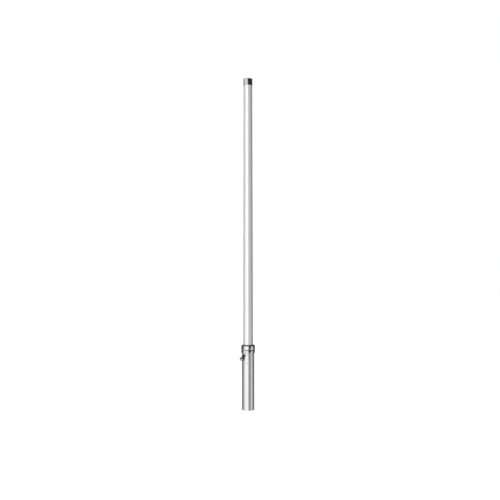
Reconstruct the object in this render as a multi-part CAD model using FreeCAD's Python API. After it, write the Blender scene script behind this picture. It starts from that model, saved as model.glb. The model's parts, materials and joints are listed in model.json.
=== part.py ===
import FreeCAD, Part
import math
import os

# Omnidirectional antenna: a tapered fibreglass radome in a two-part chrome collar, on a steel mast tube.
# Millimetres, +Z up. The origin is on the antenna's axis at the mast tube's lower end, and the clamp
# screw points along -X.

# --- mast tube ---
TUBE_RADIUS = 20.0
TUBE_TOP = 182.0
BORE_RADIUS = 18.0
COUNTERBORE_RADIUS = 18.3
COUNTERBORE_START = TUBE_TOP - 72.0
TUBE_EDGE_CHAMFER = 0.4
CLAMP_LIMIT_HEIGHT = TUBE_TOP - 29.5
CLAMP_LIMIT_WIDTH = 1.0
CLAMP_LIMIT_DEPTH = 0.3
DRAIN_HEIGHT = TUBE_TOP - 5.8
DRAIN_HALF_WIDTH = 13.4
DRAIN_HALF_HEIGHT = 3.7
DRAIN_TURN = -5.0
DRAIN_TIP_ROUNDING = 0.5

# --- clamp screw, its grip, its washer and its bush, all on the -X side ---
SCREW_HEIGHT = TUBE_TOP - 15.7
SCREW_RADIUS = 3.0
SCREW_PITCH = 1.0
BUSH_RADIUS = 5.0
BUSH_FACE = 21.9
SEAL_INNER_FACE = 22.0
SEAL_OUTER_FACE = 23.1
SEAL_RADIUS = 5.8
GRIP_INNER_FACE = 23.2
GRIP_RADIUS = 6.5
GRIP_FLUTES = 24
GRIP_FLUTE_DEPTH = 0.35
HEAD_INNER_FACE = 27.6
HEAD_OUTER_FACE = 32.2
HEAD_RADIUS = 6.0
HEAD_ROUNDING = 3.0
DOG_RADIUS = 2.0
DOG_LENGTH = 1.9
SCREW_THREAD_DEPTH = 0.35
THREAD_CLEARANCE = 0.05

# --- base ferrule ---
FERRULE_RADIUS = 18.25
FERRULE_BOTTOM = COUNTERBORE_START + 1.0
FERRULE_TOP = TUBE_TOP + 24.0
FERRULE_CHAMFER = 0.8
CHAMBER_RADIUS = 15.0
WEB_BOTTOM = FERRULE_BOTTOM + 27.0
WEB_TOP = WEB_BOTTOM + 6.0
WEB_HOLE_RADIUS = 8.05
SHOULDER_RADIUS = 13.4
SOCKET_BOTTOM = WEB_TOP + 4.0
SOCKET_RADIUS = 15.75
SEAT_BOTTOM = FERRULE_TOP - 4.0
SEAT_TOP_RADIUS = 17.0
GALLERY_BOTTOM = TUBE_TOP - 10.8
GALLERY_TOP = TUBE_TOP - 2.5
GALLERY_DEPTH = 1.0
FLUTE_DEPTH = 0.9
FLUTE_HALF_WIDTH = 2.2
FLUTE_ANGLES = (60.0, 180.0, 300.0)
SEAL_GROOVE_BOTTOM = TUBE_TOP - 2.0
SEAL_GROOVE_TOP = TUBE_TOP - 0.4
SEAL_GROOVE_RADIUS = 16.7
FERRULE_SEAL_THICKNESS = 1.5
SEAL_CLEARANCE = 0.03
COLLAR_THREAD_RADIUS = 18.0
COLLAR_THREAD_START = TUBE_TOP + 11.2
COLLAR_THREAD_PITCH = 1.5
COLLAR_THREAD_DEPTH = 0.6
COLLAR_GROOVE_WIDTH = 1.2

# --- collar: stop collar below, compression nut above ---
COLLAR_RADIUS = 22.5
COLLAR_CROWN = 0.6
STOP_BOTTOM = TUBE_TOP + 0.1
STOP_TOP = COLLAR_THREAD_START
STOP_RADIUS = 22.2
STOP_FULL_HEIGHT = STOP_BOTTOM + 5.4
STOP_BOTTOM_RADIUS = 20.4
STOP_TOP_RADIUS = 21.4
NUT_BOTTOM = STOP_TOP + 0.2
NUT_TOP = STOP_TOP + 17.4
NUT_LIP_BOTTOM = NUT_TOP - 3.2
NUT_LIP_RADIUS = 15.95
STOP_EDGE_ROUNDING = 0.4
STOP_WAIST_ROUNDING = 0.8
NUT_WAIST_ROUNDING = 1.8
NUT_SHOULDER_ROUNDING = 5.0
SPANNER_HOLE_RADIUS = 1.6
SPANNER_HOLE_DEPTH = 3.0
SPANNER_HOLE_ANGLE = -20.0
SLIP_TOP = NUT_LIP_BOTTOM - 0.1
SLIP_BOTTOM = SLIP_TOP - 0.8
SLIP_OUTER_RADIUS = 17.6
CONE_BOTTOM = SEAT_BOTTOM + 0.3
CONE_TOP = SLIP_BOTTOM - 0.1
CONE_INNER_RADIUS = 15.72
CONE_SLIT = 1.5

# --- radome and cap ---
RADOME_FOOT_RADIUS = 15.7
RADOME_TOP_RADIUS = 13.85
RADOME_WALL = 2.0
RADOME_TAPER_START = NUT_TOP + 3.5
CAP_TOP = 1075.0
CAP_BOTTOM = CAP_TOP - 22.2
RADOME_TOP = CAP_TOP - 4.5
CAP_BOTTOM_RADIUS = 14.65
CAP_TOP_RADIUS = 14.1
CAP_SKIRT_BORE = 13.95
CAP_TOP_ROUNDING = 1.3
CAP_EDGE_ROUNDING = 0.25
SPIGOT_RADIUS = 11.5
SPIGOT_BOTTOM = CAP_TOP - 20.0
SPIGOT_BORE = 8.0
CAP_GROOVE_BOTTOM = CAP_TOP - 16.2
CAP_GROOVE_TOP = CAP_TOP - 13.8
CAP_GROOVE_RADIUS = 9.7
CAP_SEAL_THICKNESS = 2.0

# --- N socket, mouth down ---
JACK_MOUTH = FERRULE_BOTTOM + 5.0
JACK_RADIUS = 7.94
JACK_BORE = 4.05
JACK_MOUTH_CHAMFER = 0.5
JACK_FLANGE_TOP = WEB_BOTTOM - 1.5
JACK_FLANGE_BOTTOM = JACK_FLANGE_TOP - 4.0
JACK_THREAD_TOP = WEB_TOP + 7.0
JACK_TAIL_TOP = JACK_THREAD_TOP + 5.0
JACK_TAIL_RADIUS = 3.2
JACK_THREAD_PITCH = 1.058
JACK_GROOVE_WIDTH = 0.4
HEX_ACROSS_FLATS = 19.0
INSULATOR_BOTTOM = JACK_MOUTH + 12.0
INSULATOR_TOP = JACK_MOUTH + 32.0
CONTACT_RADIUS = 1.52
CONTACT_TIP = JACK_MOUTH + 1.5
CONTACT_SOCKET_RADIUS = 0.83
CONTACT_SOCKET_DEPTH = 6.0
CONTACT_CUT_WIDTH = 0.3
CONTACT_CUT_LENGTH = 5.0
GASKET_RADIUS = 10.5
LOCK_WASHER_TOP = WEB_TOP + 1.0
LOCK_WASHER_RADIUS = 9.4
LOCK_WASHER_TOOTH_RADIUS = 10.8
LOCK_WASHER_TEETH = 12
JACK_NUT_TOP = LOCK_WASHER_TOP + 4.0

# --- feed line, up to the lower board ---
BOARD_BOTTOM = 228.0
CORE_RADIUS = 0.47
DIELECTRIC_RADIUS = 1.49
SHIELD_RADIUS = 1.8
CORE_BOTTOM = INSULATOR_TOP - 3.0
SHIELD_BOTTOM = INSULATOR_TOP + 1.0
SHIELD_TOP = BOARD_BOTTOM + 12.0
DIELECTRIC_TOP = SHIELD_TOP + 2.0
CORE_TOP = SHIELD_TOP + 8.0
CHOKE_BOTTOM = BOARD_BOTTOM - 40.0
CHOKE_LENGTH = 30.6
CHOKE_RADIUS = 6.0
CHOKE_WALL = 0.6

# --- boards and what holds them ---
BOARD_WIDTH = 16.0
BOARD_THICKNESS = 0.8
TRACE_THICKNESS = 0.1
BOARD_JOINT = 640.0
BOARD_JOINT_GAP = 0.4
BOARD_TOP = CAP_TOP - 36.0
TRACE_MARGIN = 2.5
FEED_START = DIELECTRIC_TOP + 1.0
TRACE_SECTIONS = 9
TRACE_WIDE = 12.0
TRACE_NARROW = 2.4
NOTCH_HALF_WIDTH = 1.9
NOTCH_TOP = DIELECTRIC_TOP + 0.3
SPLICE_WIDTH = 8.0
SPLICE_HALF_LENGTH = 12.0
HOLDER_BOTTOM = BOARD_BOTTOM - 4.0
HOLDER_TOP = BOARD_BOTTOM + 10.0
HOLDER_RADIUS = 13.6
SPACER_HEIGHTS = (300.0, 420.0, 540.0, 730.0, 850.0, 970.0)
SPACER_THICKNESS = 12.0
BUFFER_BOTTOM = BOARD_TOP + 0.3
SLIDING_GAP = 0.05

FRONT_TRACE_FACE = CORE_RADIUS
BOARD_FRONT = FRONT_TRACE_FACE + TRACE_THICKNESS
BOARD_BACK = BOARD_FRONT + BOARD_THICKNESS
BACK_TRACE_FACE = BOARD_BACK + TRACE_THICKNESS

UP = FreeCAD.Vector(0, 0, 1)
OUTWARD = FreeCAD.Vector(-1, 0, 0)
ORIGIN = FreeCAD.Vector(0, 0, 0)
PAST = 1.0
MATCH = 0.01


def on_axis(height):
    """The point on the antenna's axis at a height."""
    return FreeCAD.Vector(0, 0, height)


def cylinder(radius, low, high):
    """A solid cylinder on the antenna's axis."""
    return Part.makeCylinder(radius, high - low, on_axis(low), UP)


def tube(outer, inner, low, high):
    """A ring or tube on the antenna's axis."""
    return cylinder(outer, low, high).cut(cylinder(inner, low - PAST, high + PAST))


def turned(corners):
    """A solid of revolution about the antenna's axis from its (radius, height) corners."""
    points = [FreeCAD.Vector(radius, 0, height) for radius, height in corners]
    face = Part.Face(Part.makePolygon(points + points[:1]))
    return face.revolve(ORIGIN, UP, 360)


def block(width, y_low, y_high, low, high):
    """A box centred on the YZ plane."""
    corner = FreeCAD.Vector(-width / 2, y_low, low)
    return Part.makeBox(width, y_high - y_low, high - low, corner)


def screw_cylinder(radius, inner_face, outer_face):
    """A solid cylinder on the clamp screw's axis between two distances from the antenna's axis."""
    start = FreeCAD.Vector(-inner_face, 0, SCREW_HEIGHT)
    return Part.makeCylinder(radius, outer_face - inner_face, start, OUTWARD)


def turned_about_z(shape, degrees):
    """A copy of the shape turned about the antenna's axis."""
    copy = shape.copy()
    copy.rotate(ORIGIN, UP, degrees)
    return copy


def rims(solid, radius, height):
    """The solid's circular edges of one radius and height, centred on the antenna's axis."""
    found = []
    for edge in solid.Edges:
        curve = edge.Curve
        if not isinstance(curve, Part.Circle):
            continue
        same_radius = abs(curve.Radius - radius) < MATCH
        same_height = abs(curve.Center.z - height) < MATCH
        if same_radius and same_height and abs(abs(curve.Axis.z) - 1) < MATCH:
            found.append(edge)
    return found


def hexagon(across_flats, low, high):
    """A hexagonal prism on the antenna's axis."""
    corner_radius = across_flats / math.sqrt(3)
    corners = []
    for step in range(7):
        angle = math.radians(60 * step)
        corners.append(FreeCAD.Vector(corner_radius * math.cos(angle), corner_radius * math.sin(angle), low))
    face = Part.Face(Part.makePolygon(corners))
    return face.extrude(UP * (high - low))


def v_grooves(radius, depth, width, pitch, low, high):
    """Ring grooves of V section that stand for a thread on an outside radius."""
    grooves = []
    height = low + pitch / 2
    while height + width / 2 < high:
        grooves.append(turned([
            (radius + PAST, height - width * (1 + PAST / depth) / 2),
            (radius + PAST, height + width * (1 + PAST / depth) / 2),
            (radius - depth, height),
        ]))
        height += pitch
    return Part.makeCompound(grooves)


def radome_radius(height):
    """The radome's outside radius: parallel at the foot, then a straight taper."""
    above = max(0.0, height - RADOME_TAPER_START)
    share = above / (RADOME_TOP - RADOME_TAPER_START)
    return RADOME_FOOT_RADIUS + (RADOME_TOP_RADIUS - RADOME_FOOT_RADIUS) * share


def mast_tube():
    body = tube(TUBE_RADIUS, BORE_RADIUS, 0, TUBE_TOP)
    edges = rims(body, TUBE_RADIUS, 0) + rims(body, BORE_RADIUS, 0) + rims(body, TUBE_RADIUS, TUBE_TOP)
    body = body.makeChamfer(TUBE_EDGE_CHAMFER, edges)
    body = body.cut(cylinder(COUNTERBORE_RADIUS, COUNTERBORE_START, TUBE_TOP + PAST))
    body = body.makeChamfer(TUBE_EDGE_CHAMFER, rims(body, COUNTERBORE_RADIUS, TUBE_TOP))
    body = body.cut(turned([
        (TUBE_RADIUS, CLAMP_LIMIT_HEIGHT - CLAMP_LIMIT_WIDTH / 2),
        (TUBE_RADIUS + PAST, CLAMP_LIMIT_HEIGHT - CLAMP_LIMIT_WIDTH / 2),
        (TUBE_RADIUS + PAST, CLAMP_LIMIT_HEIGHT + CLAMP_LIMIT_WIDTH / 2),
        (TUBE_RADIUS, CLAMP_LIMIT_HEIGHT + CLAMP_LIMIT_WIDTH / 2),
        (TUBE_RADIUS - CLAMP_LIMIT_DEPTH, CLAMP_LIMIT_HEIGHT),
    ]))
    body = body.cut(drain_slot())
    return body.cut(screw_cylinder(BUSH_RADIUS, BORE_RADIUS - PAST, TUBE_RADIUS + PAST))


def drain_slot():
    """An eye-shaped opening through the tube's wall above the clamp screw, a little further round."""
    start = FreeCAD.Vector(0, 0, DRAIN_HEIGHT)
    tips = [start + FreeCAD.Vector(0, side * DRAIN_HALF_WIDTH, 0) for side in (-1, 1)]
    lids = [start + UP * (side * DRAIN_HALF_HEIGHT) for side in (-1, 1)]
    outline = Part.Wire([Part.Arc(tips[0], lid, tips[1]).toShape() for lid in lids])
    cutter = Part.Face(outline).extrude(OUTWARD * (TUBE_RADIUS + PAST))
    tip_edges = []
    for edge in cutter.Edges:
        if edge.BoundBox.YLength < MATCH and edge.BoundBox.XLength > PAST:
            tip_edges.append(edge)
    return turned_about_z(cutter.makeFillet(DRAIN_TIP_ROUNDING, tip_edges), DRAIN_TURN)


def screw_bush():
    """A threaded bush brazed into the tube's wall, flush with the counterbore inside."""
    body = screw_cylinder(BUSH_RADIUS, BORE_RADIUS - PAST, BUSH_FACE)
    body = body.cut(cylinder(COUNTERBORE_RADIUS, COUNTERBORE_START, TUBE_TOP))
    hole_radius = SCREW_RADIUS + THREAD_CLEARANCE
    return body.cut(screw_cylinder(hole_radius, BORE_RADIUS - 2 * PAST, BUSH_FACE + PAST))


def clamp_screw():
    """A thumb screw with a rounded head and a dog point."""
    dog_tip = FERRULE_RADIUS - FLUTE_DEPTH + THREAD_CLEARANCE
    dog = screw_cylinder(DOG_RADIUS, dog_tip, dog_tip + DOG_LENGTH)
    shank = screw_cylinder(SCREW_RADIUS, dog_tip + DOG_LENGTH, HEAD_INNER_FACE)
    head = screw_cylinder(HEAD_RADIUS, HEAD_INNER_FACE, HEAD_OUTER_FACE)
    outer_rim = [edge for edge in head.Edges if edge.BoundBox.XMax < MATCH - HEAD_OUTER_FACE]
    head = head.makeFillet(HEAD_ROUNDING, outer_rim)
    return dog.fuse([shank.cut(screw_thread()), head]).removeSplitter()


def screw_grip():
    """A fluted ring pressed on the clamp screw's shank behind its head, to turn it by."""
    ring = screw_cylinder(GRIP_RADIUS, GRIP_INNER_FACE, HEAD_INNER_FACE)
    ring = ring.cut(screw_cylinder(SCREW_RADIUS, GRIP_INNER_FACE - PAST, HEAD_INNER_FACE + PAST))
    for step in range(GRIP_FLUTES):
        flute = Part.makeCylinder(
            2 * GRIP_FLUTE_DEPTH, HEAD_INNER_FACE - GRIP_INNER_FACE + 2 * PAST,
            FreeCAD.Vector(PAST - GRIP_INNER_FACE, 0, SCREW_HEIGHT + GRIP_RADIUS + GRIP_FLUTE_DEPTH), OUTWARD
        )
        flute.rotate(on_axis(SCREW_HEIGHT), OUTWARD, 360 * step / GRIP_FLUTES)
        ring = ring.cut(flute)
    return ring


def screw_thread():
    """Ring grooves round the clamp screw's shank, between its dog point and its washer."""
    grooves = []
    distance = FERRULE_RADIUS - FLUTE_DEPTH + DOG_LENGTH + SCREW_PITCH
    while distance < SEAL_INNER_FACE - SCREW_PITCH / 2:
        outside = screw_cylinder(SCREW_RADIUS + PAST, distance, distance + SCREW_PITCH / 2)
        inside = screw_cylinder(SCREW_RADIUS - SCREW_THREAD_DEPTH, distance - PAST, distance + PAST)
        grooves.append(outside.cut(inside))
        distance += SCREW_PITCH
    return Part.makeCompound(grooves)


def screw_washer():
    ring = screw_cylinder(SEAL_RADIUS, SEAL_INNER_FACE, SEAL_OUTER_FACE)
    hole_radius = SCREW_RADIUS + THREAD_CLEARANCE
    return ring.cut(screw_cylinder(hole_radius, SEAL_INNER_FACE - PAST, SEAL_OUTER_FACE + PAST))


def base_ferrule():
    """The plug inside the mast tube: connector chamber below, web, radome socket and cone seat above."""
    body = turned([
        (CHAMBER_RADIUS, FERRULE_BOTTOM),
        (FERRULE_RADIUS - FERRULE_CHAMFER, FERRULE_BOTTOM),
        (FERRULE_RADIUS, FERRULE_BOTTOM + FERRULE_CHAMFER),
        (FERRULE_RADIUS, COLLAR_THREAD_START),
        (COLLAR_THREAD_RADIUS, COLLAR_THREAD_START),
        (COLLAR_THREAD_RADIUS, FERRULE_TOP),
        (SEAT_TOP_RADIUS, FERRULE_TOP),
        (SOCKET_RADIUS, SEAT_BOTTOM),
        (SOCKET_RADIUS, SOCKET_BOTTOM),
        (SHOULDER_RADIUS, SOCKET_BOTTOM),
        (SHOULDER_RADIUS, WEB_TOP),
        (WEB_HOLE_RADIUS, WEB_TOP),
        (WEB_HOLE_RADIUS, WEB_BOTTOM),
        (CHAMBER_RADIUS, WEB_BOTTOM),
    ])
    body = body.cut(tube(FERRULE_RADIUS + PAST, FERRULE_RADIUS - GALLERY_DEPTH, GALLERY_BOTTOM, GALLERY_TOP))
    body = body.cut(tube(FERRULE_RADIUS + PAST, SEAL_GROOVE_RADIUS, SEAL_GROOVE_BOTTOM, SEAL_GROOVE_TOP))
    body = body.cut(v_grooves(
        COLLAR_THREAD_RADIUS, COLLAR_THREAD_DEPTH, COLLAR_GROOVE_WIDTH, COLLAR_THREAD_PITCH,
        COLLAR_THREAD_START, FERRULE_TOP
    ))
    for angle in FLUTE_ANGLES:
        flute = Part.makeBox(
            FLUTE_DEPTH + PAST, 2 * FLUTE_HALF_WIDTH, GALLERY_BOTTOM + PAST - FERRULE_BOTTOM + PAST,
            FreeCAD.Vector(FERRULE_RADIUS - FLUTE_DEPTH, -FLUTE_HALF_WIDTH, FERRULE_BOTTOM - PAST)
        )
        body = body.cut(turned_about_z(flute, angle))
    return body


def ring_from(curve_edges, inner_radius, low_corner, high_corner):
    """A ring whose outside follows the given edges between its two outer corners."""
    rest = Part.makePolygon([
        high_corner,
        FreeCAD.Vector(inner_radius, 0, high_corner.z),
        FreeCAD.Vector(inner_radius, 0, low_corner.z),
        low_corner,
    ])
    outline = Part.Wire(curve_edges + rest.Edges)
    return Part.Face(outline).revolve(ORIGIN, UP, 360)


def swelling(full_radius, full_height, end_radius, end_height):
    """An arc that leaves the full radius upright and draws in to its other end."""
    rise = end_height - full_height
    swell = full_radius - end_radius
    curve_radius = (rise ** 2 + swell ** 2) / (2 * swell)
    middle_radius = full_radius - curve_radius + math.sqrt(curve_radius ** 2 - (rise / 2) ** 2)
    full = FreeCAD.Vector(full_radius, 0, full_height)
    middle = FreeCAD.Vector(middle_radius, 0, full_height + rise / 2)
    end = FreeCAD.Vector(end_radius, 0, end_height)
    return Part.Arc(full, middle, end).toShape()


def stop_collar():
    """The lower ring: it swells from just over the tube's radius and draws in again below the nut."""
    below = swelling(STOP_RADIUS, STOP_FULL_HEIGHT, STOP_BOTTOM_RADIUS, STOP_BOTTOM)
    above = swelling(STOP_RADIUS, STOP_FULL_HEIGHT, STOP_TOP_RADIUS, STOP_TOP)
    low_corner = FreeCAD.Vector(STOP_BOTTOM_RADIUS, 0, STOP_BOTTOM)
    high_corner = FreeCAD.Vector(STOP_TOP_RADIUS, 0, STOP_TOP)
    body = ring_from([below, above], FERRULE_RADIUS, low_corner, high_corner)
    body = body.makeFillet(STOP_EDGE_ROUNDING, rims(body, STOP_BOTTOM_RADIUS, STOP_BOTTOM))
    return body.makeFillet(STOP_WAIST_ROUNDING, rims(body, STOP_TOP_RADIUS, STOP_TOP))


def compression_nut():
    """The upper ring: slightly crowned, threaded inside, with a lip that bears on the slip washer."""
    edge_radius = COLLAR_RADIUS - COLLAR_CROWN
    low_corner = FreeCAD.Vector(edge_radius, 0, NUT_BOTTOM)
    middle = FreeCAD.Vector(COLLAR_RADIUS, 0, (NUT_BOTTOM + NUT_TOP) / 2)
    high_corner = FreeCAD.Vector(edge_radius, 0, NUT_TOP)
    crown = Part.Arc(low_corner, middle, high_corner).toShape()
    body = ring_from([crown], NUT_LIP_RADIUS, low_corner, high_corner)
    body = body.makeFillet(NUT_WAIST_ROUNDING, rims(body, edge_radius, NUT_BOTTOM))
    body = body.makeFillet(NUT_SHOULDER_ROUNDING, rims(body, edge_radius, NUT_TOP))
    body = body.cut(cylinder(COLLAR_THREAD_RADIUS + THREAD_CLEARANCE, NUT_BOTTOM - PAST, NUT_LIP_BOTTOM))
    across = FreeCAD.Vector(0, 1, 0)
    start = on_axis((NUT_BOTTOM + NUT_TOP) / 2) + across * (COLLAR_RADIUS - SPANNER_HOLE_DEPTH)
    spanner_hole = Part.makeCylinder(SPANNER_HOLE_RADIUS, SPANNER_HOLE_DEPTH + PAST, start, across)
    return body.cut(turned_about_z(spanner_hole, SPANNER_HOLE_ANGLE))


def slip_washer():
    return tube(SLIP_OUTER_RADIUS, NUT_LIP_RADIUS, SLIP_BOTTOM, SLIP_TOP)


def compression_ring():
    """A split cone between the ferrule's seat and the radome."""
    slope = (SEAT_TOP_RADIUS - SOCKET_RADIUS) / (FERRULE_TOP - SEAT_BOTTOM)
    low_radius = SOCKET_RADIUS + slope * (CONE_BOTTOM - SEAT_BOTTOM)
    high_radius = SOCKET_RADIUS + slope * (FERRULE_TOP - SEAT_BOTTOM)
    body = turned([
        (CONE_INNER_RADIUS, CONE_BOTTOM),
        (low_radius, CONE_BOTTOM),
        (high_radius, FERRULE_TOP),
        (high_radius, CONE_TOP),
        (CONE_INNER_RADIUS, CONE_TOP),
    ])
    return body.cut(block(CONE_SLIT, 0, 2 * COLLAR_RADIUS, CONE_BOTTOM - PAST, CONE_TOP + PAST))


def ring_seal(outer_radius, thickness, middle_height):
    """A rubber ring of round section."""
    return Part.makeTorus(outer_radius - thickness / 2, thickness / 2, on_axis(middle_height), UP)


def ferrule_o_ring():
    middle = (SEAL_GROOVE_BOTTOM + SEAL_GROOVE_TOP) / 2
    return ring_seal(COUNTERBORE_RADIUS - SEAL_CLEARANCE, FERRULE_SEAL_THICKNESS, middle)


def cap_o_ring():
    middle = (CAP_GROOVE_BOTTOM + CAP_GROOVE_TOP) / 2
    bore_radius = radome_radius(middle) - RADOME_WALL
    return ring_seal(bore_radius - SEAL_CLEARANCE, CAP_SEAL_THICKNESS, middle)


def radome():
    return turned([
        (RADOME_FOOT_RADIUS - RADOME_WALL, SOCKET_BOTTOM),
        (RADOME_FOOT_RADIUS, SOCKET_BOTTOM),
        (RADOME_FOOT_RADIUS, RADOME_TAPER_START),
        (RADOME_TOP_RADIUS, RADOME_TOP),
        (RADOME_TOP_RADIUS - RADOME_WALL, RADOME_TOP),
        (RADOME_FOOT_RADIUS - RADOME_WALL, RADOME_TAPER_START),
    ])


def top_cap():
    """A cap with a skirt outside the radome and a grooved spigot inside it."""
    body = turned([
        (SPIGOT_BORE, SPIGOT_BOTTOM),
        (SPIGOT_RADIUS, SPIGOT_BOTTOM),
        (SPIGOT_RADIUS, CAP_GROOVE_BOTTOM),
        (CAP_GROOVE_RADIUS, CAP_GROOVE_BOTTOM),
        (CAP_GROOVE_RADIUS, CAP_GROOVE_TOP),
        (SPIGOT_RADIUS, CAP_GROOVE_TOP),
        (SPIGOT_RADIUS, RADOME_TOP),
        (CAP_SKIRT_BORE, RADOME_TOP),
        (CAP_SKIRT_BORE, CAP_BOTTOM),
        (CAP_BOTTOM_RADIUS, CAP_BOTTOM),
        (CAP_TOP_RADIUS, CAP_TOP),
        (0, CAP_TOP),
        (0, RADOME_TOP),
        (SPIGOT_BORE, RADOME_TOP),
    ])
    body = body.makeFillet(CAP_TOP_ROUNDING, rims(body, CAP_TOP_RADIUS, CAP_TOP))
    return body.makeFillet(CAP_EDGE_ROUNDING, rims(body, CAP_BOTTOM_RADIUS, CAP_BOTTOM))


def connector_body():
    """The N socket's shell: grooved thread, hexagonal flange and a tail that grips the feed line."""
    body = turned([
        (JACK_BORE, JACK_MOUTH),
        (JACK_RADIUS - JACK_MOUTH_CHAMFER, JACK_MOUTH),
        (JACK_RADIUS, JACK_MOUTH + JACK_MOUTH_CHAMFER),
        (JACK_RADIUS, JACK_THREAD_TOP),
        (JACK_TAIL_RADIUS, JACK_THREAD_TOP),
        (JACK_TAIL_RADIUS, JACK_TAIL_TOP),
        (SHIELD_RADIUS, JACK_TAIL_TOP),
        (SHIELD_RADIUS, INSULATOR_TOP),
        (JACK_BORE, INSULATOR_TOP),
    ])
    flange = hexagon(HEX_ACROSS_FLATS, JACK_FLANGE_BOTTOM, JACK_FLANGE_TOP)
    flange = flange.cut(cylinder(JACK_RADIUS - PAST, JACK_FLANGE_BOTTOM - PAST, JACK_FLANGE_TOP + PAST))
    grooves = v_grooves(
        JACK_RADIUS, JACK_GROOVE_WIDTH, JACK_GROOVE_WIDTH, JACK_THREAD_PITCH,
        JACK_MOUTH + JACK_THREAD_PITCH, JACK_FLANGE_BOTTOM
    )
    return body.cut(grooves).fuse(flange).removeSplitter()


def connector_insulator():
    return tube(JACK_BORE, CONTACT_RADIUS, INSULATOR_BOTTOM, INSULATOR_TOP)


def connector_contact():
    """The centre contact, with a slotted socket at its tip and a cup for the core at its root."""
    body = cylinder(CONTACT_RADIUS, CONTACT_TIP, INSULATOR_TOP)
    body = body.cut(cylinder(CONTACT_SOCKET_RADIUS, CONTACT_TIP - PAST, CONTACT_TIP + CONTACT_SOCKET_DEPTH))
    body = body.cut(cylinder(CORE_RADIUS, CORE_BOTTOM, INSULATOR_TOP + PAST))
    saw_cut = block(
        CONTACT_CUT_WIDTH, -2 * CONTACT_RADIUS, 2 * CONTACT_RADIUS,
        CONTACT_TIP - PAST, CONTACT_TIP + CONTACT_CUT_LENGTH
    )
    return body.cut(saw_cut).cut(turned_about_z(saw_cut, 90))


def connector_gasket():
    return tube(GASKET_RADIUS, JACK_RADIUS, JACK_FLANGE_TOP, WEB_BOTTOM)


def connector_lock_washer():
    """A washer with a ring of teeth."""
    body = cylinder(LOCK_WASHER_RADIUS, WEB_TOP, LOCK_WASHER_TOP)
    tooth_width = math.pi * LOCK_WASHER_RADIUS / LOCK_WASHER_TEETH
    tooth = block(tooth_width, 0, LOCK_WASHER_TOOTH_RADIUS, WEB_TOP, LOCK_WASHER_TOP)
    for step in range(LOCK_WASHER_TEETH):
        body = body.fuse(turned_about_z(tooth, 360 * step / LOCK_WASHER_TEETH))
    return body.removeSplitter().cut(cylinder(WEB_HOLE_RADIUS, WEB_TOP - PAST, LOCK_WASHER_TOP + PAST))


def connector_nut():
    body = hexagon(HEX_ACROSS_FLATS, LOCK_WASHER_TOP, JACK_NUT_TOP)
    return body.cut(cylinder(JACK_RADIUS, LOCK_WASHER_TOP - PAST, JACK_NUT_TOP + PAST))


def coax_core():
    return cylinder(CORE_RADIUS, CORE_BOTTOM, CORE_TOP)


def coax_dielectric():
    return tube(DIELECTRIC_RADIUS, CORE_RADIUS, INSULATOR_TOP, DIELECTRIC_TOP)


def coax_shield():
    return tube(SHIELD_RADIUS, DIELECTRIC_RADIUS, SHIELD_BOTTOM, SHIELD_TOP)


def choke_sleeve():
    """A quarter-wave sleeve, open below and closed on to the feed line's shield above."""
    top = CHOKE_BOTTOM + CHOKE_LENGTH
    return turned([
        (CHOKE_RADIUS - CHOKE_WALL, CHOKE_BOTTOM),
        (CHOKE_RADIUS, CHOKE_BOTTOM),
        (CHOKE_RADIUS, top),
        (SHIELD_RADIUS, top),
        (SHIELD_RADIUS, top - CHOKE_WALL),
        (CHOKE_RADIUS - CHOKE_WALL, top - CHOKE_WALL),
    ])


def board_holder():
    """A disc in the radome's foot, with a hole for the feed line and a blind slot for the board."""
    body = cylinder(HOLDER_RADIUS, HOLDER_BOTTOM, HOLDER_TOP)
    body = body.cut(cylinder(SHIELD_RADIUS + SLIDING_GAP, HOLDER_BOTTOM - PAST, HOLDER_TOP + PAST))
    slot_width = BOARD_WIDTH + 2 * SLIDING_GAP
    return body.cut(block(
        slot_width, BOARD_FRONT - SLIDING_GAP, BOARD_BACK + SLIDING_GAP, BOARD_BOTTOM, HOLDER_TOP + PAST
    ))


def element_board_lower():
    board = block(BOARD_WIDTH, BOARD_FRONT, BOARD_BACK, BOARD_BOTTOM, BOARD_JOINT)
    return board.cut(block(2 * NOTCH_HALF_WIDTH, 0, BACK_TRACE_FACE, BOARD_BOTTOM - PAST, NOTCH_TOP))


def element_board_upper():
    return block(BOARD_WIDTH, BOARD_FRONT, BOARD_BACK, BOARD_JOINT + BOARD_JOINT_GAP, BOARD_TOP)


def board_splice():
    return block(
        SPLICE_WIDTH, BACK_TRACE_FACE, BACK_TRACE_FACE + BOARD_THICKNESS,
        BOARD_JOINT - SPLICE_HALF_LENGTH, BOARD_JOINT + SPLICE_HALF_LENGTH
    )


def trace(low, high, wide_first, face):
    """A copper trace that is wide and narrow by turns, a half wave each."""
    section = (high - low) / TRACE_SECTIONS
    right = []
    for step in range(TRACE_SECTIONS):
        wide = (step % 2 == 0) == wide_first
        half_width = (TRACE_WIDE if wide else TRACE_NARROW) / 2
        right.append(FreeCAD.Vector(half_width, face, low + step * section))
        right.append(FreeCAD.Vector(half_width, face, low + (step + 1) * section))
    left = [FreeCAD.Vector(-point.x, point.y, point.z) for point in reversed(right)]
    outline = Part.makePolygon(right + left + right[:1])
    return Part.Face(outline).extrude(FreeCAD.Vector(0, TRACE_THICKNESS, 0))


def trace_pair(face, wide_first):
    """One side's copper on both boards, as separate solids."""
    lower = trace(FEED_START, BOARD_JOINT - TRACE_MARGIN, wide_first, face)
    upper_start = BOARD_JOINT + BOARD_JOINT_GAP + TRACE_MARGIN
    upper = trace(upper_start, BOARD_TOP - TRACE_MARGIN, not wide_first, face)
    return Part.makeCompound([lower, upper])


def front_traces():
    return trace_pair(FRONT_TRACE_FACE, False)


def back_traces():
    return trace_pair(BOARD_BACK, True)


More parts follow.
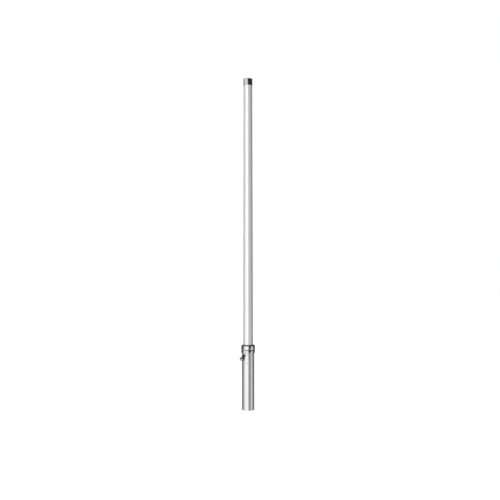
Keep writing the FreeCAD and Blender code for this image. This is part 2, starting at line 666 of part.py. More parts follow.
def foam_spacers():
    """Discs that centre the boards, each as wide as the tapered bore where it sits."""
    discs = []
    slot = block(
        BOARD_WIDTH + 2 * SLIDING_GAP, FRONT_TRACE_FACE - SLIDING_GAP, BACK_TRACE_FACE + SLIDING_GAP,
        BOARD_BOTTOM, BOARD_TOP
    )
    for low in SPACER_HEIGHTS:
        high = low + SPACER_THICKNESS
        radius = radome_radius(high) - RADOME_WALL - SLIDING_GAP
        discs.append(cylinder(radius, low, high).cut(slot))
    return Part.makeCompound(discs)


def top_buffer():
    radius = radome_radius(SPIGOT_BOTTOM) - RADOME_WALL - SLIDING_GAP
    return cylinder(radius, BUFFER_BOTTOM, SPIGOT_BOTTOM)


SUBPARTS = (
    mast_tube, screw_bush, clamp_screw, screw_grip, screw_washer,
    base_ferrule, stop_collar, compression_nut, slip_washer, compression_ring, ferrule_o_ring,
    radome, top_cap, cap_o_ring,
    connector_body, connector_insulator, connector_contact, connector_gasket,
    connector_lock_washer, connector_nut,
    coax_core, coax_dielectric, coax_shield, choke_sleeve,
    board_holder, element_board_lower, element_board_upper, board_splice,
    front_traces, back_traces, foam_spacers, top_buffer,
)

os.makedirs("parts", exist_ok=True)
for make in SUBPARTS:
    make().exportStep("parts/" + make.__name__ + ".step")
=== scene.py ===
import json
import math

import bmesh
import bpy
from mathutils import Matrix, Vector


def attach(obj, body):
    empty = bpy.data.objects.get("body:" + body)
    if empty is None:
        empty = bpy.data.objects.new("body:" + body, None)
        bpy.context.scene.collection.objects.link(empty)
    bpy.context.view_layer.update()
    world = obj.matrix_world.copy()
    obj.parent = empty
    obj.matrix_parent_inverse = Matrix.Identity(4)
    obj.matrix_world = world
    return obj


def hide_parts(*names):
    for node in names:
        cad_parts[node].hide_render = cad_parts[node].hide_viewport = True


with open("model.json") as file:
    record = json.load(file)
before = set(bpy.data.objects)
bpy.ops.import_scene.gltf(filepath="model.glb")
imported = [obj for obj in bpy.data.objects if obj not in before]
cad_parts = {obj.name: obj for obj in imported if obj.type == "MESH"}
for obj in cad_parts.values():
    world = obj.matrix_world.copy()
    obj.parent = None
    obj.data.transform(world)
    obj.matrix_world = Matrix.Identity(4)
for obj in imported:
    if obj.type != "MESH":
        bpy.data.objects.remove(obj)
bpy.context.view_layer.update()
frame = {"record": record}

# --- camera ---
# The clamp screw stands on -X and shows 50 degrees to the left of the camera's direction.
CAMERA_AZIMUTH = -40.0
CAMERA_DISTANCE = 2.9
EYE_HEIGHT = 0.46
CAMERA_PITCH = 1.13
CAMERA_PAN = 0.124
CAMERA_ROLL = 0.045
LENS_MM = 64.34
SENSOR_MM = 36.0

# --- studio: bearings are degrees to the right of the camera as seen from the antenna ---
BACKDROP_WHITE = 1.01
FLOOR_SIZE = 16.0
FLOOR_GREYS = (0.93, 0.95)
FLOOR_ROUGHNESS = 0.9
FLOOR_GRAIN_SCALE = 40
FLOOR_SUN = 3.12
FLOOR_SUN_ANGLE = 40.0
# The room's light, as (bearing, grey level), for directions that are level, rising, falling and overhead.
LEVEL_LIGHT = (
    (-180, 0.1), (-112, 0.06), (-98, 0.15), (-80, 0.47), (-60, 0.95), (-42, 1.38), (-25, 1.56), (-6, 1.5),
    (6, 1.05), (14, 0.06), (41, 0.06), (51, 0.86), (85, 0.84), (97, 0.1), (180, 0.1),
)
HIGH_LIGHT = (
    (-180, 0.05), (-136, 0.12), (-112, 0.2), (-92, 0.9), (-24, 1.05), (-8, 0.6), (6, 0.04), (180, 0.04),
)
LOW_LIGHT = (
    (-180, 0.5), (-164, 0.3), (-134, 0.06), (-113, 0.5), (-98, 0.85), (-60, 1.0), (-30, 1.1), (-6, 1.05),
    (6, 0.6), (16, 0.12), (34, 0.15), (46, 0.74), (60, 0.85), (84, 0.78), (98, 0.15), (140, 0.2), (180, 0.6),
)
CEILING_LIGHT = ((-180, 0.025), (180, 0.025))
# The last three take over between two heights of the direction's unit vector.
HIGH_STARTS = math.sin(math.radians(6.0))
HIGH_FULL = math.sin(math.radians(12.5))
LOW_STARTS = math.sin(math.radians(-9.5))
LOW_FULL = math.sin(math.radians(-17.0))
CEILING_STARTS = math.sin(math.radians(18.0))
CEILING_FULL = math.sin(math.radians(27.0))
# The key and fill lamps light matte surfaces only. The gloss lamp only gives the radome its highlight.
KEY_BEARING = -14.0
KEY_ELEVATION = 12.0
KEY_STRENGTH = 1.2
KEY_ANGLE = 40.0
GLOSS_BEARING = -33.0
GLOSS_ELEVATION = 5.0
GLOSS_STRENGTH = 3.5
GLOSS_ANGLE = 72.0
FILL_BEARINGS = (-160.0, 162.0)
FILL_ELEVATION = 10.0
FILL_STRENGTH = 1.3
FILL_ANGLE = 30.0
STRAIGHT_DOWN = 90.0


def direction(azimuth):
    """The unit vector from the antenna towards a camera at this azimuth."""
    angle = math.radians(azimuth)
    return Vector((math.sin(angle), -math.cos(angle), 0.0))


# --- detailed pieces, in metres ---
MM = 0.001
SHARP_EDGE = 35.0
SCREW_HEIGHT = 166.3 * MM
SCREW_RADIUS = 3.0 * MM
SCREW_PITCH = 1.0 * MM
SCREW_THREAD_DEPTH = 0.35 * MM
DOG_RADIUS = 2.0 * MM
DOG_TIP = 17.4 * MM
DOG_ROOT = 19.3 * MM
ROOT_STEP = 0.4 * MM
SCREW_CHAMFER = 0.3 * MM
SCREW_THREAD_END = 24.0 * MM
HEAD_RADIUS = 6.0 * MM
HEAD_BACK = 27.6 * MM
HEAD_FACE = 32.2 * MM
HEAD_ROUNDING = 3.0 * MM
DIMPLE_RADIUS = 1.8 * MM
DIMPLE_LIP_RADIUS = 1.5 * MM
DIMPLE_LIP_DEPTH = 0.15 * MM
DIMPLE_DEPTH = 0.5 * MM
GRIP_RADIUS = 6.5 * MM
GRIP_BORE = 3.0 * MM
GRIP_BACK = 23.2 * MM
GRIP_CHAMFER = 0.5 * MM
GRIP_RIDGES = 30
GRIP_SIDES_PER_RIDGE = 8
GRIP_BANDS = 4
RIDGE_DEPTH = 0.35 * MM
SEAL_RADIUS = 5.8 * MM
SEAL_BORE = 3.05 * MM
SEAL_BACK = 22.0 * MM
SEAL_FACE = 23.1 * MM
SEAL_ROUNDING = 0.45 * MM
ARC_STEPS = 8
SCREW_SIDES = 96
SOCKET_SIDES = 120
SOCKET_MOUTH = 116.0 * MM
SOCKET_RADIUS = 7.94 * MM
SOCKET_BORE = 4.05 * MM
SOCKET_CHAMFER = 0.5 * MM
SOCKET_PITCH = 1.058 * MM
SOCKET_THREAD_DEPTH = 0.55 * MM
FLANGE_LOW = 132.5 * MM
FLANGE_HIGH = 136.5 * MM
FLANGE_HALF_FLATS = 9.5 * MM
FLANGE_CHAMFER = 0.5 * MM
FLANGE_CHAMFER_SLOPE = 2
SOCKET_THREAD_TOP = 151.0 * MM
TAIL_RADIUS = 3.2 * MM
TAIL_TOP = 156.0 * MM
SHIELD_RADIUS = 1.8 * MM
INSULATOR_TOP = 148.0 * MM
THREAD_STEPS = 10


def turned_mesh(name, profile, sides, radius_at):
    """A mesh turned about Z from (radius, height) points that run pole to pole or round a closed section."""
    shape = bmesh.new()
    rings = []
    for radius, height in profile:
        if radius == 0:
            rings.append([shape.verts.new((0, 0, height))])
            continue
        ring = []
        for step in range(sides):
            angle = math.tau * step / sides
            size = radius_at(radius, height, angle)
            ring.append(shape.verts.new((size * math.cos(angle), size * math.sin(angle), height)))
        rings.append(ring)
    pairs = list(zip(rings, rings[1:]))
    if profile[0][0] > 0:
        pairs.append((rings[-1], rings[0]))
    for first, second in pairs:
        for step in range(sides):
            ahead = (step + 1) % sides
            corners = (
                first[step % len(first)], first[ahead % len(first)],
                second[ahead % len(second)], second[step % len(second)],
            )
            shape.faces.new(list(dict.fromkeys(corners)))
    bmesh.ops.recalc_face_normals(shape, faces=shape.faces)
    for face in shape.faces:
        face.smooth = True
    for edge in shape.edges:
        edge.smooth = edge.calc_face_angle() < math.radians(SHARP_EDGE)
    mesh = bpy.data.meshes.new(name)
    shape.to_mesh(mesh)
    shape.free()
    return mesh


def add_piece(name, mesh, node, body, slot_name):
    """Puts a detailed piece in the scene in place of a CAD node."""
    mesh.materials.append(MATERIALS[slot_name])
    piece = bpy.data.objects.new(name, mesh)
    bpy.context.scene.collection.objects.link(piece)
    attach(piece, body)
    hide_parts(node)


def on_screw_axis():
    """Takes a piece turned about Z to the clamp screw's axis, with its +Z end pointing along -X."""
    return Matrix.Translation((0, 0, SCREW_HEIGHT)) @ Matrix.Rotation(math.radians(-90), 4, "Y")


def thread_cut(height, angle, pitch, depth, low, high):
    """How deep a right-hand V thread cuts at a height and angle, running out at both ends."""
    phase = (height / pitch - angle / math.tau) % 1.0
    run_out = min(1.0, max(0.0, min(height - low, high - height) / pitch))
    return depth * run_out * abs(2.0 * phase - 1.0)


def steps_between(low, high, step):
    """Evenly spaced values from low to high, about a step apart."""
    count = max(1, round((high - low) / step))
    return [low + (high - low) * index / count for index in range(count + 1)]


def rounding(radius, height, size, above):
    """Profile points round an outer edge, towards the axis when the edge is above, and from it when below."""
    points = []
    for step in range(ARC_STEPS + 1):
        angle = math.radians(90) * step / ARC_STEPS
        inward = size * (1 - math.cos(angle))
        along = size * (1 - math.sin(angle))
        points.append((radius - inward, height - along if above else height + along))
    return points if above else points[::-1]


def make_thumb_screw():
    """A dog-point screw with a helical thread and a rounded head with a turned dimple."""
    profile = [
        (0, DOG_TIP),
        (DOG_RADIUS - SCREW_CHAMFER, DOG_TIP),
        (DOG_RADIUS, DOG_TIP + SCREW_CHAMFER),
        (DOG_RADIUS, DOG_ROOT),
        (SCREW_RADIUS - ROOT_STEP, DOG_ROOT),
    ]
    thread = steps_between(DOG_ROOT + SCREW_CHAMFER, SCREW_THREAD_END, SCREW_PITCH / THREAD_STEPS)
    profile += [(SCREW_RADIUS, height) for height in thread]
    profile += [
        (SCREW_RADIUS, HEAD_BACK),
        (HEAD_RADIUS - SCREW_CHAMFER, HEAD_BACK),
        (HEAD_RADIUS, HEAD_BACK + SCREW_CHAMFER),
    ]
    profile += rounding(HEAD_RADIUS, HEAD_FACE, HEAD_ROUNDING, True)
    profile += [
        (DIMPLE_RADIUS, HEAD_FACE),
        (DIMPLE_LIP_RADIUS, HEAD_FACE - DIMPLE_LIP_DEPTH),
        (0, HEAD_FACE - DIMPLE_DEPTH),
    ]

    def radius_at(radius, height, angle):
        if radius != SCREW_RADIUS:
            return radius
        return radius - thread_cut(
            height, angle, SCREW_PITCH, SCREW_THREAD_DEPTH, DOG_ROOT, SCREW_THREAD_END
        )

    mesh = turned_mesh("thumb_screw", profile, SCREW_SIDES, radius_at)
    mesh.transform(on_screw_axis())
    add_piece("thumb_screw", mesh, "clamp_screw", "screw", "bright_chrome")


def make_grip_ring():
    """The fluted black ring behind the screw's head, with chamfered rims."""
    low = GRIP_BACK + GRIP_CHAMFER
    high = HEAD_BACK - GRIP_CHAMFER
    profile = [(GRIP_BORE, GRIP_BACK), (GRIP_RADIUS - GRIP_CHAMFER, GRIP_BACK)]
    profile += [(GRIP_RADIUS, height) for height in steps_between(low, high, (high - low) / GRIP_BANDS)]
    profile += [(GRIP_RADIUS - GRIP_CHAMFER, HEAD_BACK), (GRIP_BORE, HEAD_BACK)]

    def radius_at(radius, height, angle):
        if radius != GRIP_RADIUS:
            return radius
        return radius - RIDGE_DEPTH * (1 - abs(math.cos(angle * GRIP_RIDGES / 2)))

    mesh = turned_mesh("grip_ring", profile, GRIP_RIDGES * GRIP_SIDES_PER_RIDGE, radius_at)
    mesh.transform(on_screw_axis())
    add_piece("grip_ring", mesh, "screw_grip", "screw", "black_oxide")


def make_screw_seal():
    """A rubber washer with rounded rims."""
    profile = [(SEAL_BORE, SEAL_BACK)]
    profile += rounding(SEAL_RADIUS, SEAL_BACK, SEAL_ROUNDING, False)
    profile += rounding(SEAL_RADIUS, SEAL_FACE, SEAL_ROUNDING, True)
    profile += [(SEAL_BORE, SEAL_FACE)]
    mesh = turned_mesh("seal_ring", profile, SCREW_SIDES, lambda radius, height, angle: radius)
    mesh.transform(on_screw_axis())
    add_piece("seal_ring", mesh, "screw_washer", "screw_seal", "black_rubber")


def hexagon_radius(angle):
    """The distance from the axis to a hexagon's side at this angle."""
    turn = angle % math.radians(60) - math.radians(30)
    return FLANGE_HALF_FLATS / math.cos(turn)


def make_socket_shell():
    """The N socket's shell with a helical thread and a chamfered hexagonal flange."""
    profile = [
        (SOCKET_BORE, SOCKET_MOUTH + SOCKET_CHAMFER),
        (SOCKET_BORE + SOCKET_CHAMFER, SOCKET_MOUTH),
        (SOCKET_RADIUS - SOCKET_CHAMFER, SOCKET_MOUTH),
    ]
    thread_low = SOCKET_MOUTH + SOCKET_CHAMFER
    thread_high = FLANGE_LOW - SOCKET_CHAMFER
    thread = steps_between(thread_low, thread_high, SOCKET_PITCH / THREAD_STEPS)
    profile += [(SOCKET_RADIUS, height) for height in thread]
    profile += [(SOCKET_RADIUS, FLANGE_LOW)]
    profile += [(FLANGE_HALF_FLATS, height) for height in (
        FLANGE_LOW, FLANGE_LOW + FLANGE_CHAMFER, FLANGE_HIGH - FLANGE_CHAMFER, FLANGE_HIGH
    )]
    profile += [
        (SOCKET_RADIUS, FLANGE_HIGH),
        (SOCKET_RADIUS, SOCKET_THREAD_TOP - SOCKET_CHAMFER),
        (SOCKET_RADIUS - SOCKET_CHAMFER, SOCKET_THREAD_TOP),
        (TAIL_RADIUS, SOCKET_THREAD_TOP),
        (TAIL_RADIUS, TAIL_TOP),
        (SHIELD_RADIUS, TAIL_TOP),
        (SHIELD_RADIUS, INSULATOR_TOP),
        (SOCKET_BORE, INSULATOR_TOP),
    ]

    def radius_at(radius, height, angle):
        if radius == FLANGE_HALF_FLATS:
            inside = min(height - FLANGE_LOW, FLANGE_HIGH - height)
            chamfered = FLANGE_HALF_FLATS + FLANGE_CHAMFER + FLANGE_CHAMFER_SLOPE * inside
            return min(hexagon_radius(angle), chamfered)
        if radius == SOCKET_RADIUS and height < FLANGE_LOW:
            return radius - thread_cut(
                height, angle, SOCKET_PITCH, SOCKET_THREAD_DEPTH, thread_low, thread_high
            )
        return radius

    mesh = turned_mesh("socket_shell", profile, SOCKET_SIDES, radius_at)
    add_piece("socket_shell", mesh, "connector_body", "head", "nickel_brass")


# --- node helpers ---

HALF_WAY = 0.5


def add(tree, kind, **settings):
    """A new node with its properties set."""
    node = tree.nodes.new(kind)
    for key, value in settings.items():
        setattr(node, key, value)
    return node


def link(tree, source, target):
    """Joins an output socket to an input socket."""
    tree.links.new(source, target)


def maths(tree, operation, *values):
    """A Math node fed by sockets or plain numbers."""
    node = add(tree, "ShaderNodeMath", operation=operation)
    for socket, value in zip(node.inputs, values):
        if isinstance(value, float):
            socket.default_value = value
        else:
            link(tree, value, socket)
    return node.outputs["Value"]


def ramp(tree, factor, stops):
    """A colour ramp from (position, grey or RGB) stops."""
    node = add(tree, "ShaderNodeValToRGB")
    elements = node.color_ramp.elements
    while len(elements) < len(stops):
        elements.new(HALF_WAY)
    for element, (position, value) in zip(elements, stops):
        element.position = position
        colour = value if isinstance(value, tuple) else (value, value, value)
        element.color = (*colour, 1.0)
    link(tree, factor, node.inputs["Fac"])
    return node.outputs["Color"]


def spread(tree, value, low_in, high_in, low_out, high_out):
    """Map Range with smooth ends."""
    node = add(tree, "ShaderNodeMapRange", interpolation_type="SMOOTHSTEP")
    for name, number in (
        ("From Min", low_in), ("From Max", high_in), ("To Min", low_out), ("To Max", high_out),
    ):
        node.inputs[name].default_value = number
    link(tree, value, node.inputs["Value"])
    return node.outputs["Result"]


# --- materials ---

class Finish:
    """A node material with a Principled shader, and helpers for what varies over it."""

    def __init__(self, name, **constants):
        self.material = bpy.data.materials.new(name)
        self.material.use_nodes = True
        self.tree = self.material.node_tree
        self.tree.nodes.clear()
        self.output = add(self.tree, "ShaderNodeOutputMaterial")
        self.shader = add(self.tree, "ShaderNodeBsdfPrincipled")
        link(self.tree, self.shader.outputs["BSDF"], self.output.inputs["Surface"])
        for key, value in constants.items():
            self.shader.inputs[key.replace("_", " ")].default_value = value
        self.place = add(self.tree, "ShaderNodeTexCoord").outputs["Object"]
        self.height = None

    def stretched(self, scale):
        """Object coordinates scaled by axis, in cycles per metre."""
        mapping = add(self.tree, "ShaderNodeMapping")
        mapping.inputs["Scale"].default_value = scale
        link(self.tree, self.place, mapping.inputs["Vector"])
        return mapping.outputs["Vector"]

    def noise(self, scale, detail=4.0, roughness=0.55):
        """Fractal noise from 0 to 1."""
        node = add(self.tree, "ShaderNodeTexNoise")
        node.inputs["Scale"].default_value = 1.0
        node.inputs["Detail"].default_value = detail
        node.inputs["Roughness"].default_value = roughness
        link(self.tree, self.stretched(scale), node.inputs["Vector"])
        return node.outputs["Fac"]

    def cells(self, scale):
        """Rounded cells, as the distance from each one's centre."""
        node = add(self.tree, "ShaderNodeTexVoronoi", feature="SMOOTH_F1")
        node.inputs["Scale"].default_value = 1.0
        link(self.tree, self.stretched(scale), node.inputs["Vector"])
        return node.outputs["Distance"]

    def waves(self, scale, axis, distortion=0.0):
        """Parallel ridges across an axis."""
        node = add(self.tree, "ShaderNodeTexWave", wave_type="BANDS", bands_direction=axis)
        node.inputs["Scale"].default_value = 1.0
        node.inputs["Distortion"].default_value = distortion
        link(self.tree, self.stretched(scale), node.inputs["Vector"])
        return node.outputs["Fac"]

    def colour(self, factor, low, high, start=0.3, end=0.7):
        """The base colour runs from low to high as the factor goes from start to end."""
        result = ramp(self.tree, factor, ((start, low), (end, high)))
        link(self.tree, result, self.shader.inputs["Base Color"])

    def rough(self, factor, low, high, start=0.3, end=0.7):
        """The roughness runs from low to high as the factor goes from start to end."""
        result = spread(self.tree, factor, start, end, low, high)
        link(self.tree, result, self.shader.inputs["Roughness"])

    def bump(self, factor, depth):
        """Adds a layer of relief, depth in metres."""
        node = add(self.tree, "ShaderNodeBump")
        node.inputs["Distance"].default_value = depth
        link(self.tree, factor, node.inputs["Height"])
        if self.height is not None:
            link(self.tree, self.height, node.inputs["Normal"])
        self.height = node.outputs["Normal"]
        link(self.tree, self.height, self.shader.inputs["Normal"])


def polished_steel():
    """Stainless tube with fine polishing lines round it."""
    finish = Finish("polished_stainless", Metallic=1.0)
    lines = finish.noise(scale=(400, 400, 9000), detail=5.0, roughness=0.7)
    clouds = finish.noise(scale=(35, 35, 14), detail=3.0)
    finish.colour(clouds, low=(0.81, 0.81, 0.815), high=(0.86, 0.86, 0.865))
    finish.rough(lines, low=0.34, high=0.42)
    finish.bump(lines, depth=0.000004)
    return finish.material


def bright_chrome():
    """Mirror plating with faint wiping marks."""
    finish = Finish("bright_chrome", Metallic=1.0)
    clouds = finish.noise(scale=(60, 60, 60), detail=4.0)
    wipes = finish.noise(scale=(900, 900, 2500), detail=3.0)
    finish.colour(clouds, low=(0.63, 0.635, 0.645), high=(0.67, 0.675, 0.685))
    finish.rough(clouds, low=0.05, high=0.10)
    finish.bump(wipes, depth=0.000001)
    return finish.material


def white_fibreglass():
    """Glossy white gelcoat, with the strands along the radome just showing through."""
    finish = Finish(
        "white_gelcoat", Metallic=0.0, IOR=1.5, Coat_Weight=1.0, Coat_Roughness=0.27, Coat_IOR=1.7
    )
    strands = finish.noise(scale=(1500, 1500, 80), detail=6.0, roughness=0.6)
    mottling = finish.noise(scale=(90, 90, 30), detail=4.0)
    finish.colour(mottling, low=(0.63, 0.635, 0.635), high=(0.66, 0.665, 0.66))
    finish.rough(strands, low=0.36, high=0.48)
    finish.bump(strands, depth=0.0000015)
    finish.bump(mottling, depth=0.000002)
    return finish.material


def black_rubber():
    """Dull rubber with a fine grain and a slight bloom."""
    finish = Finish("black_rubber", Metallic=0.0)
    grain = finish.noise(scale=(2500, 2500, 2500), detail=5.0)
    bloom = finish.noise(scale=(180, 180, 180), detail=3.0)
    finish.colour(bloom, low=(0.010, 0.010, 0.011), high=(0.022, 0.022, 0.023))
    finish.rough(grain, low=0.62, high=0.82)
    finish.bump(grain, depth=0.00002)
    return finish.material


def black_oxide():
    """Blackened steel with a faint oily sheen."""
    finish = Finish("black_oxide_steel", Metallic=0.0, Specular_IOR_Level=0.2)
    mottling = finish.noise(scale=(500, 500, 500), detail=4.0)
    finish.colour(mottling, low=(0.006, 0.006, 0.007), high=(0.014, 0.014, 0.015))
    finish.rough(mottling, low=0.38, high=0.55)
    finish.bump(mottling, depth=0.000006)
    return finish.material


def black_anodised():
    """Blasted and black-anodised aluminium with fine turning lines."""
    finish = Finish("black_anodised", Metallic=0.65)
    blasted = finish.noise(scale=(5000, 5000, 5000), detail=4.0)
    turning = finish.waves(scale=(0, 0, 2600), axis="Z", distortion=0.3)
    finish.colour(blasted, low=(0.020, 0.021, 0.023), high=(0.040, 0.041, 0.044))
    finish.rough(blasted, low=0.34, high=0.5)
    finish.bump(turning, depth=0.000004)
    return finish.material


def moulded(name, low, high, low_rough, high_rough):
    """A plain plastic with slight clouding and a fine moulded grain."""
    finish = Finish(name, Metallic=0.0)
    clouds = finish.noise(scale=(220, 220, 220), detail=3.0)
    grain = finish.noise(scale=(4200, 4200, 4200), detail=3.0)
    finish.colour(clouds, low=low, high=high)
    finish.rough(grain, low=low_rough, high=high_rough)
    finish.bump(grain, depth=0.000006)
    return finish.material


def worked_metal(name, low, high, low_rough, high_rough):
    """A turned or drawn metal with fine lines and a slight tarnish."""
    finish = Finish(name, Metallic=1.0)
    tarnish = finish.noise(scale=(300, 300, 300), detail=4.0)
    lines = finish.noise(scale=(600, 600, 7000), detail=4.0)
    finish.colour(tarnish, low=low, high=high)
    finish.rough(lines, low=low_rough, high=high_rough)
    finish.bump(lines, depth=0.000003)
    return finish.material


def circuit_board():
    """Glass and epoxy board with the weave showing."""
    finish = Finish("glass_epoxy_board", Metallic=0.0, Coat_Weight=0.3, Coat_Roughness=0.2)
    warp = finish.waves(scale=(1400, 0, 0), axis="X")
    weft = finish.waves(scale=(0, 0, 1400), axis="Z")
    weave = maths(finish.tree, "MULTIPLY", warp, weft)
    finish.colour(weave, low=(0.20, 0.27, 0.10), high=(0.33, 0.40, 0.17), start=0.0, end=1.0)
    finish.rough(weave, low=0.34, high=0.5, start=0.0, end=1.0)
    finish.bump(weave, depth=0.00001)
    return finish.material


def foam():
    """Closed-cell white foam."""
    finish = Finish("white_foam", Metallic=0.0, Sheen_Weight=0.2)
    bubbles = finish.cells(scale=(1300, 1300, 1300))
    finish.colour(bubbles, low=(0.90, 0.90, 0.88), high=(0.70, 0.70, 0.68), start=0.2, end=0.7)
    finish.rough(bubbles, low=0.8, high=0.95)
    finish.bump(bubbles, depth=0.0002)
    return finish.material


MATERIALS = {
    "polished_steel": polished_steel(),
    "bright_chrome": bright_chrome(),
    "white_fibreglass": white_fibreglass(),
    "black_rubber": black_rubber(),
    "black_anodised": black_anodised(),
    "black_oxide": black_oxide(),
    "nylon": moulded(
        "natural_nylon", low=(0.80, 0.77, 0.68), high=(0.87, 0.85, 0.77), low_rough=0.35, high_rough=0.5
    ),
    "ptfe": moulded(
        "white_ptfe", low=(0.88, 0.88, 0.87), high=(0.94, 0.94, 0.93), low_rough=0.3, high_rough=0.45
    ),
    "acetal": moulded(
        "white_acetal", low=(0.84, 0.84, 0.82), high=(0.91, 0.91, 0.89), low_rough=0.3, high_rough=0.42
    ),
    "nickel_brass": worked_metal(
        "nickel_plate", low=(0.60, 0.58, 0.53), high=(0.70, 0.68, 0.63), low_rough=0.18, high_rough=0.32
    ),
    "gilt_contact": worked_metal(
        "gold_plate", low=(0.86, 0.62, 0.26), high=(0.93, 0.70, 0.33), low_rough=0.16, high_rough=0.28
    ),
    "bare_brass": worked_metal(
        "bare_brass", low=(0.68, 0.50, 0.22), high=(0.80, 0.62, 0.30), low_rough=0.25, high_rough=0.42
    ),
    "copper": worked_metal(
        "bare_copper", low=(0.72, 0.37, 0.24), high=(0.83, 0.47, 0.33), low_rough=0.24, high_rough=0.4
    ),
    "circuit_board": circuit_board(),
    "foam": foam(),
}


def dress_cad_nodes():
    """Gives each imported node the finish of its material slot."""
    slot_of = {entry["node"]: entry["material_slot"] for entry in frame["record"]["subparts"]}
    for name, slot_name in slot_of.items():
        for material_slot in bpy.data.objects[name].material_slots:
            material_slot.material = MATERIALS[slot_name]


# --- studio ---

# A Mix node has sockets for each data type. These are the places of its colour sockets.
MIX_FIRST_COLOUR = 6
MIX_SECOND_COLOUR = 7
MIX_COLOUR_RESULT = 2


def bearing_stops(levels):
    """Ramp stops for a whole turn, which starts and ends behind the antenna."""
    return tuple((bearing / 360.0 + HALF_WAY, level) for bearing, level in levels)


def blend(tree, factor, first, second):
    """Mixes two colours."""
    node = add(tree, "ShaderNodeMix", data_type="RGBA")
    link(tree, factor, node.inputs["Factor"])
    link(tree, first, node.inputs[MIX_FIRST_COLOUR])
    link(tree, second, node.inputs[MIX_SECOND_COLOUR])
    return node.outputs[MIX_COLOUR_RESULT]


def make_world():
    """A soft studio: light banks by bearing round the antenna, dark gaps between them, a dim ceiling."""
    world = bpy.data.worlds.new("studio")
    bpy.context.scene.world = world
    world.use_nodes = True
    tree = world.node_tree
    tree.nodes.clear()
    output = add(tree, "ShaderNodeOutputWorld")
    place = add(tree, "ShaderNodeTexCoord").outputs["Generated"]
    turn = add(tree, "ShaderNodeVectorRotate", rotation_type="Z_AXIS")
    ahead = direction(CAMERA_AZIMUTH)
    turn.inputs["Angle"].default_value = -math.atan2(ahead.y, ahead.x)
    link(tree, place, turn.inputs["Vector"])
    split = add(tree, "ShaderNodeSeparateXYZ")
    link(tree, turn.outputs["Vector"], split.inputs["Vector"])
    bearing = maths(tree, "ARCTAN2", split.outputs["Y"], split.outputs["X"])
    share = maths(tree, "MULTIPLY_ADD", bearing, 1.0 / math.tau, HALF_WAY)
    room = ramp(tree, share, bearing_stops(LEVEL_LIGHT))
    for starts, full, levels in (
        (LOW_STARTS, LOW_FULL, LOW_LIGHT),
        (HIGH_STARTS, HIGH_FULL, HIGH_LIGHT),
        (CEILING_STARTS, CEILING_FULL, CEILING_LIGHT),
    ):
        cover = spread(tree, split.outputs["Z"], starts, full, 0.0, 1.0)
        room = blend(tree, cover, room, ramp(tree, share, bearing_stops(levels)))
    lights = add(tree, "ShaderNodeBackground")
    link(tree, room, lights.inputs["Color"])
    backdrop = add(tree, "ShaderNodeBackground")
    backdrop.inputs["Color"].default_value = (BACKDROP_WHITE, BACKDROP_WHITE, BACKDROP_WHITE, 1.0)
    choose = add(tree, "ShaderNodeMixShader")
    link(tree, add(tree, "ShaderNodeLightPath").outputs["Is Camera Ray"], choose.inputs["Fac"])
    link(tree, lights.outputs["Background"], choose.inputs[1])
    link(tree, backdrop.outputs["Background"], choose.inputs[2])
    link(tree, choose.outputs["Shader"], output.inputs["Surface"])


def pale_floor():
    """A matte floor that can be looked through from below."""
    finish = Finish("pale_floor", Metallic=0.0, Roughness=FLOOR_ROUGHNESS)
    grain = finish.noise(scale=[FLOOR_GRAIN_SCALE] * 3, detail=3.0)
    low, high = FLOOR_GREYS
    finish.colour(grain, low=low, high=high)
    tree = finish.tree
    see_through = add(tree, "ShaderNodeBsdfTransparent")
    sides = add(tree, "ShaderNodeMixShader")
    link(tree, add(tree, "ShaderNodeNewGeometry").outputs["Backfacing"], sides.inputs["Fac"])
    link(tree, finish.shader.outputs["BSDF"], sides.inputs[1])
    link(tree, see_through.outputs["BSDF"], sides.inputs[2])
    link(tree, sides.outputs["Shader"], finish.output.inputs["Surface"])
    return finish.material


def make_floor():
    """One large square under the antenna that throws no light or reflection on to it."""
    mesh = bpy.data.meshes.new("studio_floor")
    half = FLOOR_SIZE / 2
    corners = [(-half, -half, 0), (half, -half, 0), (half, half, 0), (-half, half, 0)]
    mesh.from_pydata(corners, [], [(0, 1, 2, 3)])
    mesh.materials.append(pale_floor())
    floor = bpy.data.objects.new("studio_floor", mesh)
    bpy.context.scene.collection.objects.link(floor)
    floor.visible_glossy = False
    floor.visible_diffuse = False
    floor.visible_shadow = False
    return floor


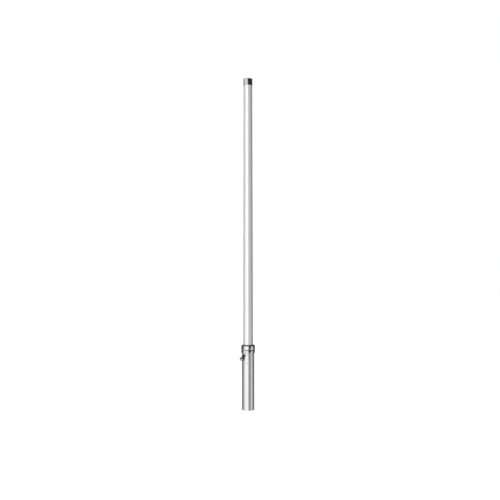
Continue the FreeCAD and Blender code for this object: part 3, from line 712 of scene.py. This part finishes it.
def make_sun(name, strength, angle, bearing, elevation):
    """A soft sun that shines from a bearing and elevation."""
    data = bpy.data.lights.new(name, "SUN")
    data.energy = strength
    data.angle = math.radians(angle)
    lamp = bpy.data.objects.new(name, data)
    flat = direction(CAMERA_AZIMUTH + bearing)
    rise = math.radians(elevation)
    towards = flat * math.cos(rise) + Vector((0, 0, math.sin(rise)))
    lamp.rotation_euler = towards.to_track_quat("Z", "Y").to_euler()
    bpy.context.scene.collection.objects.link(lamp)
    return lamp


def light_only(lamp, name, receiver):
    """Limits a lamp to one object."""
    receivers = bpy.data.collections.new(name)
    receivers.objects.link(receiver)
    lamp.light_linking.receiver_collection = receivers


def make_lamps():
    """The lamps on the object, and one on the floor alone."""
    key = make_sun("key", KEY_STRENGTH, KEY_ANGLE, KEY_BEARING, KEY_ELEVATION)
    key.visible_glossy = False
    gloss = make_sun("gloss", GLOSS_STRENGTH, GLOSS_ANGLE, GLOSS_BEARING, GLOSS_ELEVATION)
    gloss.visible_diffuse = False
    light_only(gloss, "radome_only", bpy.data.objects["radome"])
    for bearing in FILL_BEARINGS:
        fill = make_sun("fill", FILL_STRENGTH, FILL_ANGLE, bearing, FILL_ELEVATION)
        fill.visible_glossy = False
    overhead = make_sun("overhead", FLOOR_SUN, FLOOR_SUN_ANGLE, 0.0, STRAIGHT_DOWN)
    overhead.data.use_shadow = False
    light_only(overhead, "floor_only", make_floor())


def make_camera():
    """The camera, looking level at the antenna from the side that the screw is on."""
    data = bpy.data.cameras.new("camera")
    data.sensor_width = SENSOR_MM
    data.lens = LENS_MM
    camera = bpy.data.objects.new("camera", data)
    back = direction(CAMERA_AZIMUTH)
    camera.location = back * CAMERA_DISTANCE + Vector((0, 0, EYE_HEIGHT))
    camera.rotation_euler = (
        math.radians(90 + CAMERA_PITCH), math.radians(CAMERA_ROLL), math.radians(CAMERA_AZIMUTH - CAMERA_PAN)
    )
    bpy.context.scene.collection.objects.link(camera)
    bpy.context.scene.camera = camera


bpy.context.scene.view_settings.view_transform = "Standard"
dress_cad_nodes()
make_thumb_screw()
make_grip_ring()
make_screw_seal()
make_socket_shell()
make_world()
make_lamps()
make_camera()
